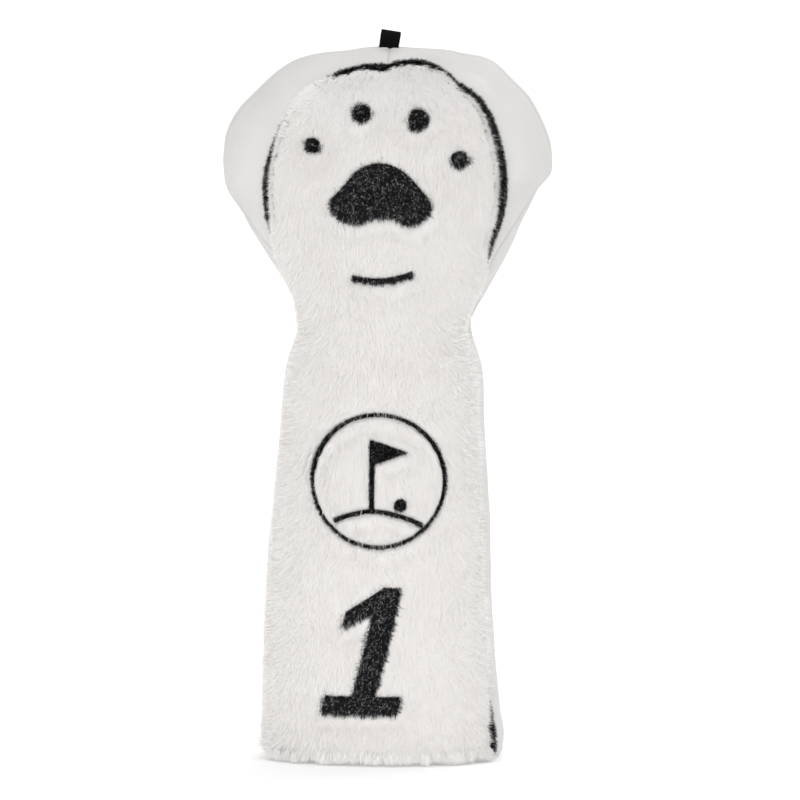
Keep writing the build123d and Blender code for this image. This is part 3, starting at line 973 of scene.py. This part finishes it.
def fringe_hairs(count):
    """Ragged tufts along the hem: out over the edge, then down to the floor."""
    q = scatter(count, (-62, BACKING_LOW), (62, BACKING_LOW + 3.5), lambda q: panel.at(q)[0] < -3)
    root, normal = front_root(q)
    tufts = noise(join(q[:, 0], q[:, 0]), 1.7, 22)
    rise = 2.2 + (4.5 + 3 * tufts) * rng.random(count) ** 1.6
    fall = (q[:, 1] - LOWEST_HAIR) * np.clip(0.78 + 0.3 * tufts + rng.normal(0, 0.1, count), 0.3, 1)
    heading = join(0.5 * noise(root, 3.5, 23) + rng.normal(0, 0.25, count), -1.0)
    tint = rng.uniform(0.3, 0.99, count)
    along, width = tangent(heading, normal), rng.uniform(0.2, 0.38, count)
    return blades(root, normal, along, fall, rise, width, tint, 0.15)


roots = scatter(FUR_HAIRS, (-64, 2), (64, 352), white_roots)
roots = roots[np.argsort(roots[:, 1])]
for number, share in enumerate(np.array_split(roots, FUR_PIECES), start=1):
    pile = fur_object(f"white_pile_{number}", [white_hairs(share)], WHITE_FUR)
    place(pile, "white_fur", "front_fur_panel")
place(fur_object("hem_fringe", [fringe_hairs(FRINGE_HAIRS)], WHITE_FUR), "white_fur", "front_fur_panel")

skin = sheet("front_fur_backing", front_grid(34, 110, 2.5, BACKING_LOW), LEATHER, 0.1, 1.4)
place(skin, "white_fur", "front_fur_panel")

for name, (cad_node, measure, low, high) in INKS.items():
    field = Field(measure, low, high, 0.3)
    thin = name.startswith(("badge", "mouth"))
    splay = 1.6 if name.startswith("mouth") else 0.8 if thin else 2.5
    base = patch(measure, low, high, 0.6)
    inside_cells = (field.data[..., 0] < 0).sum() * field.step**2
    count = int(inside_cells * (20 if thin else 14))
    q = scatter(count, low, high, lambda q: field.at(q)[0] < 0)
    fall = 0.6 if name.startswith("toe") else 0.2
    hairs = black_hairs(field.at, q, 1.0 if thin else 2.4, 3.1 if thin else 3.3, splay, 0.3, fall)
    place(fur_object(name, [base, hairs], BLACK_FUR), "black_fur", cad_node)


def from_middle(q):
    """The edging's hairs part along its middle: inwards over the pile, and out to the seam."""
    d, out = panel.at(q)
    half = trim_width(q) / 2
    offset = d + half
    return np.abs(offset) - half, out * np.where(offset < 0.4 * half, -1, 0.25)[:, None]


for side, name in ((-1, "left"), (1, "right")):
    def in_trim(q, side=side):
        d, _ = panel.at(q)
        own = (q[:, 0] - CROWN_SEAM_X) * side > 0
        return own & (d < -0.2) & (d > -trim_width(q) - 0.6) & (q[:, 1] > 3)

    def trim_measure(q, side=side):
        d, _ = panel.at(q)
        own = -(q[:, 0] - CROWN_SEAM_X) * side
        return np.maximum(np.maximum(d, -TRIM_WIDTH - d), np.maximum(own, 2.5 - q[:, 1]))

    low, high = ((-64, 2), (CROWN_SEAM_X, 353)) if side < 0 else ((CROWN_SEAM_X, 2), (64, 353))
    base = patch(trim_measure, low, high, 1.0)
    q = scatter(TRIM_HAIRS, low, high, in_trim)
    crown = np.clip((q[:, 1] - 322) / 20, 0, 1)
    rise = (0.9 + 1.9 * trim_shows(q)) * (1 - 0.3 * crown)
    hairs = black_hairs(from_middle, q, 2.0, rise, 1.5, HAIR_WIDTH, 0.15)
    place(fur_object(f"trim_fur_{name}", [base, hairs], BLACK_FUR), "black_fur", f"fur_trim_{name}")


# ---- Leather ----
def seam_relief(p, d):
    """Groove along a seam, the puffed leather beside it, and its small puckers."""
    pucker = 0.28 * noise(p, 3.4, 12) * np.exp(-d / 3.2)
    return -1.05 * hump(d, 1.3) + 0.45 * hump(d - 3.4, 2.1) + pucker


# Where the stuffed leather bulges or sinks: X, Z, lift and spread
SLACK = (
    (50, 347, 4.2, 13), (69, 334, 1.6, 10), (-44, 348, 0.9, 9), (-67, 335, -1.4, 11), (-20, 357, -1.2, 10),
    (62, 272, -0.8, 10), (-66, 268, 0.9, 9), (74, 286, -1.2, 8), (30, 356, 1.4, 10),
)


def soft_relief(p):
    """Slack of stuffed leather."""
    lift = 0.6 * noise(p, 30, 13) + 0.26 * noise(p, 12, 14)
    for x, z, height, spread in SLACK:
        lift += height * np.exp(-((p[..., 0] - x) ** 2 + (p[..., 2] - z) ** 2) / spread**2)
    return np.maximum(lift, -1.1)


def gathers(p):
    """Upright folds where the elastic draws the waist in."""
    turn = np.arctan2(p[..., 1] - MIDDLE_Y, p[..., 0])
    near = hump(p[..., 2] - NECK_Z, 15)
    wave = np.sin(turn * 17 + 1.6 * noise(p, 22, 15)) + 0.5 * np.sin(turn * 31 + 2 * noise(p, 14, 16))
    return near * (0.85 * wave - 0.35)


def row_ends(p):
    """Distance along each row to its nearer end."""
    step = np.linalg.norm(np.diff(p, axis=1), axis=-1)
    run = np.concatenate((np.zeros((len(p), 1)), np.cumsum(step, axis=1)), axis=1)
    return np.minimum(run, run[:, -1:] - run)


def neck_lift(p):
    return gathers(p) + soft_relief(p)


head_back = rows(NECK_Z, CROWN_TOP, "back", 1.2, 170)
lift = seam_relief(head_back, row_ends(head_back)) + neck_lift(head_back)
lift -= 0.7 * hump(head_back[..., 2] - NECK_Z, 1.1)
place(shell("head_back_leather", head_back, LEATHER, lift), "white_leather", "head_back_panel")

HEM_LEATHER = 1.5
HEM_STITCH_Z = 6.8
sleeve_back = rows(HEM_LEATHER, NECK_Z, "back", 1.2, 150)
height = sleeve_back[..., 2]
slanting = join(sleeve_back[..., 0] + height, (height - sleeve_back[..., 0]) / 5)
crease = 0.5 * noise(slanting, 9, 17) * np.exp(-height / 70)
lift = seam_relief(sleeve_back, row_ends(sleeve_back)) + neck_lift(sleeve_back) + crease
lift += 0.25 * hump(height - 4, 1.6) - 0.5 * hump(height - HEM_STITCH_Z, 0.9)
lift -= 0.7 * hump(height - NECK_Z, 1.1)
place(shell("sleeve_back_leather", sleeve_back, LEATHER, lift), "white_leather", "sleeve_back_panel")

crown_turn = math.atan2(CROWN_TOP - HUB[2], CROWN_SEAM_X)
for name, first, last in (("right", math.radians(-57), crown_turn), ("left", math.radians(237), crown_turn)):
    p, to_front, to_side = band(first, last, 260, 44)
    along_seam = np.linalg.norm(p[-1:] - p, axis=-1)
    lift = seam_relief(p, to_side) + soft_relief(p) * np.clip(to_front / 6, 0, 1)
    lift += 0.4 * hump(to_front - 0.9, 0.8) - 1.1 / (1 + np.exp(np.minimum(to_front * 5, 40)))
    lift += 0.5 * gathers(p) - 0.6 * hump(along_seam, 1.0)
    place(shell(f"gusset_leather_{name}", p, LEATHER, lift), "white_leather", f"gusset_{name}")


# ---- Inside layers ----
def inner(name, low, high, side, depth, material, slot, nodes, step=4, columns=60, relief=0.0):
    """A layer between two depths below the leather face."""
    grid = rows(low, high, side, step, columns)
    lift = relief * noise(grid, 6, 18)
    return place(shell(name, grid, material, lift, *depth, closed=side == "round"), slot, *nodes)


ELASTIC_LOW, ELASTIC_HIGH = NECK_Z - 7, NECK_Z + 7
INSIDE_TOP = CROWN_TOP - 1.5
PADDING_DEPTH, BAND_DEPTH, CASING_DEPTH, FACING_DEPTH, LINING_DEPTH = (
    (1.7, 4.3), (1.7, 2.9), (3.1, 4.3), (1.6, 4.3), (4.5, 5.7)
)
nodes = [f"head_padding_{side}" for side in ("front", "gusset_left", "gusset_right", "back")]
foams = [inner("head_padding_foam", ELASTIC_HIGH, INSIDE_TOP, "round", PADDING_DEPTH, FOAM, "padding", nodes)]
for side in ("front", "back"):
    name, nodes = f"sleeve_foam_{side}", [f"sleeve_padding_{side}"]
    foams.append(inner(name, HEM_HEIGHT, ELASTIC_LOW, side, PADDING_DEPTH, FOAM, "padding", nodes))
inner("neck_elastic_band", ELASTIC_LOW + 1, ELASTIC_HIGH - 1, "round", BAND_DEPTH, WEBBING, "elastic",
      ["neck_elastic"], step=1.5, columns=180)
inner("elastic_casing_tube", ELASTIC_LOW, ELASTIC_HIGH, "round", CASING_DEPTH, TRICOT, "lining",
      ["elastic_casing"], step=1.5, columns=180)
for side, low in (("front", 5.2), ("back", 1.2)):
    inner(f"hem_facing_{side}_leather", low, HEM_HEIGHT, side, FACING_DEPTH, LEATHER, "white_leather",
          [f"hem_facing_{side}"], step=1.5)
for part, low, high in (("sleeve", 4, NECK_Z), ("head", NECK_Z, INSIDE_TOP)):
    nodes = [f"{part}_lining_front", f"{part}_lining_back"]
    inner(f"{part}_lining_plush", low, high, "round", LINING_DEPTH, PLUSH, "lining", nodes, 3, 160, 0.25)


# ---- Stitches ----
def resample(line, run, at):
    """Points of a line at distances along it."""
    return join(*(np.interp(at, run, axis) for axis in line.T))


STITCH_SIDES = 8
# Along a stitch from end to end: place, radius and height of its middle
STITCH_SHAPE = np.array((
    (-0.5, 0.013, -0.25), (-0.42, 0.182, -0.08), (-0.2, 0.247, 0.02), (0, 0.26, 0.06),
    (0.2, 0.247, 0.02), (0.42, 0.182, -0.08), (0.5, 0.013, -0.25),
))


def stitches(name, z, pitch, length, lift):
    """A row of thread stitches across the back at one height."""
    low = float(seam_angle(np.array(z)))
    turn = np.linspace(low + 0.06, math.pi - low - 0.06, 600)
    line = on_section(turn, np.full(600, float(z)))
    run = run_along(line)
    at = np.arange(pitch / 2, run[-1], pitch)
    centre, ahead = resample(line, run, at), resample(line, run, at + 0.3)
    forward, normal = unit(ahead - centre), normal_at(centre)
    centre = centre + normal * (lift(centre) + 0.05)[:, None]
    side = np.cross(forward, normal)
    centre, forward, normal, side = (v[:, None, None] for v in (centre, forward, normal, side))
    along, radius, rise = STITCH_SHAPE.T[:, :, None, None]
    ring = np.linspace(0, 2 * math.pi, STITCH_SIDES, endpoint=False)[:, None]
    points = centre + forward * along * length + normal * (rise + radius * np.sin(ring))
    points += side * radius * np.cos(ring)
    size = len(STITCH_SHAPE) * STITCH_SIDES
    one = tube_faces(len(STITCH_SHAPE), STITCH_SIDES)
    faces = [tuple(i * size + k for k in face) for i in range(len(at)) for face in one]
    place(mesh_object(name, points.reshape(-1, 3), faces, THREAD), "white_leather")


stitches("hem_stitches", HEM_STITCH_Z, 3.4, 2.7, lambda p: soft_relief(p) - 0.45)
stitches("elastic_stitches_low", NECK_Z - 6, 3.2, 2.5, neck_lift)
stitches("elastic_stitches_high", NECK_Z + 6, 3.2, 2.5, neck_lift)


# ---- Ribbon loop at the crown ----
RIBBON_WIDTH = 9.8
RIBBON_PLY = 0.8
LOOP_TILT = math.radians(8.7)
LOOP_X = 1
CROWN_LEATHER_TOP = 357.0
PIVOT_RISE = 2.2
EYE_RISE = 4.4
LOOP_END_RADIUS = 2.6
LOOP_SINK = 5.2
RIB_PITCH = 0.75
hinge = np.array((LOOP_X, CROWN_SEAM_Y, CROWN_LEATHER_TOP + PIVOT_RISE))
ribbon_up = np.array((math.sin(LOOP_TILT), 0, math.cos(LOOP_TILT)))
ribbon_across = np.array((math.cos(LOOP_TILT), 0, -math.sin(LOOP_TILT)))
ribbon_out = np.array((0, 1, 0))

radius = LOOP_END_RADIUS - RIBBON_PLY / 2
half_gap = RIBBON_PLY / 2 + 0.03
slope = math.asin((radius - half_gap) / EYE_RISE)
turns = np.linspace(-slope, math.pi + slope, 40)
line = [(half_gap, -LOOP_SINK), (half_gap, -0.4), (half_gap + 0.05, 0.2)]
line += [(radius * math.cos(a), EYE_RISE + radius * math.sin(a)) for a in turns]
line += [(-half_gap - 0.05, 0.2), (-half_gap, -0.4), (-half_gap, -LOOP_SINK)]
line = np.array(line)
run = run_along(line)
at = np.linspace(0, run[-1], 420)
line = resample(line, run, at)
ahead = unit(np.gradient(line, axis=0))
out = join(ahead[:, 1], -ahead[:, 0])
rib = 0.07 * np.cos(2 * math.pi * at / RIB_PITCH)
across = np.linspace(-1, 1, 15)
edge_rib = np.where(np.abs(across) > 0.9, 0.3, 1.0)
loops = []
for sign in (1, -1):
    thick = RIBBON_PLY / 2 - 0.08 + rib[:, None] * edge_rib[None]
    thick = thick * np.where(np.abs(across) > 0.97, 0.55, 1.0)[None]
    flat = line[:, None, :] + sign * out[:, None, :] * thick[..., None]
    loops.append(
        hinge + flat[..., :1] * ribbon_out + flat[..., 1:] * ribbon_up
        + (across * RIBBON_WIDTH / 2)[None, :, None] * ribbon_across
    )
ring_of = np.concatenate((loops[0], loops[1][:, ::-1]), axis=1)
ribbon = mesh_object("ribbon_loop", ring_of.reshape(-1, 3), tube_faces(*ring_of.shape[:2]), RIBBON)
weld(ribbon)
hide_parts("hang_loop", "loop_anchor")
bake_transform(ribbon)


# ---- Camera, floor and light ----
AZIMUTH, ELEVATION, DISTANCE = math.radians(4), math.radians(8), 9
target = Vector((0.0065, 0, 0.1803))
back = Vector((
    math.sin(AZIMUTH) * math.cos(ELEVATION), -math.cos(AZIMUTH) * math.cos(ELEVATION), math.sin(ELEVATION),
))
camera = add_object("camera", bpy.data.cameras.new("camera"))
camera.data.lens = 810
camera.location = target + back * DISTANCE
camera.rotation_euler = back.to_track_quat("Z", "Y").to_euler()
bpy.context.scene.camera = camera

FLOOR, floor_shader = principled("studio_floor", (0.82, 0.82, 0.82), 0.9, Specular_IOR_Level=0.1)
floor_shader.inputs["Emission Color"].default_value = (1, 1, 1, 1)
floor_shader.inputs["Emission Strength"].default_value = 0.26
FLOOR_RADIUS = 20000
around = np.linspace(0, 2 * math.pi, 64, endpoint=False)
floor_edge = [(FLOOR_RADIUS * math.cos(a), FLOOR_RADIUS * math.sin(a), 0) for a in around]
mesh_object("studio_floor", floor_edge, [tuple(range(64))], FLOOR, smooth=False)

world = bpy.data.worlds.new("studio")
bpy.context.scene.world = world
world.use_nodes = True
sky = world.node_tree.nodes["Background"]
sky.inputs["Color"].default_value = (1, 1, 1, 1)
sky.inputs["Strength"].default_value = 0.65


def soft_light(name, come_from, spread, strength):
    """A wide, even light from one direction, so soft that its shadows have no edge."""
    lamp = bpy.data.lights.new(name, "SUN")
    lamp.angle = math.radians(spread)
    lamp.energy = strength
    add_object(name, lamp).rotation_euler = Vector(come_from).to_track_quat("Z", "Y").to_euler()


soft_light("key", (-0.12, -1.0, 0.62), 60, 1.26)
soft_light("side", (0.9, -0.5, 0.4), 80, 0.2)
soft_light("rear", (0.5, 1.0, 0.7), 70, 0.9)

low_lamp = bpy.data.lights.new("low", "AREA")
low_lamp.shape = "RECTANGLE"
low_lamp.size, low_lamp.size_y = 0.16, 0.04
low_lamp.energy = 0.036
low_light = add_object("low", low_lamp)
low_light.location = (0, -0.22, 0.04)
low_light.rotation_euler = (math.radians(90), 0, 0)
low_light.visible_camera = False

bpy.context.scene.view_settings.view_transform = "Standard"
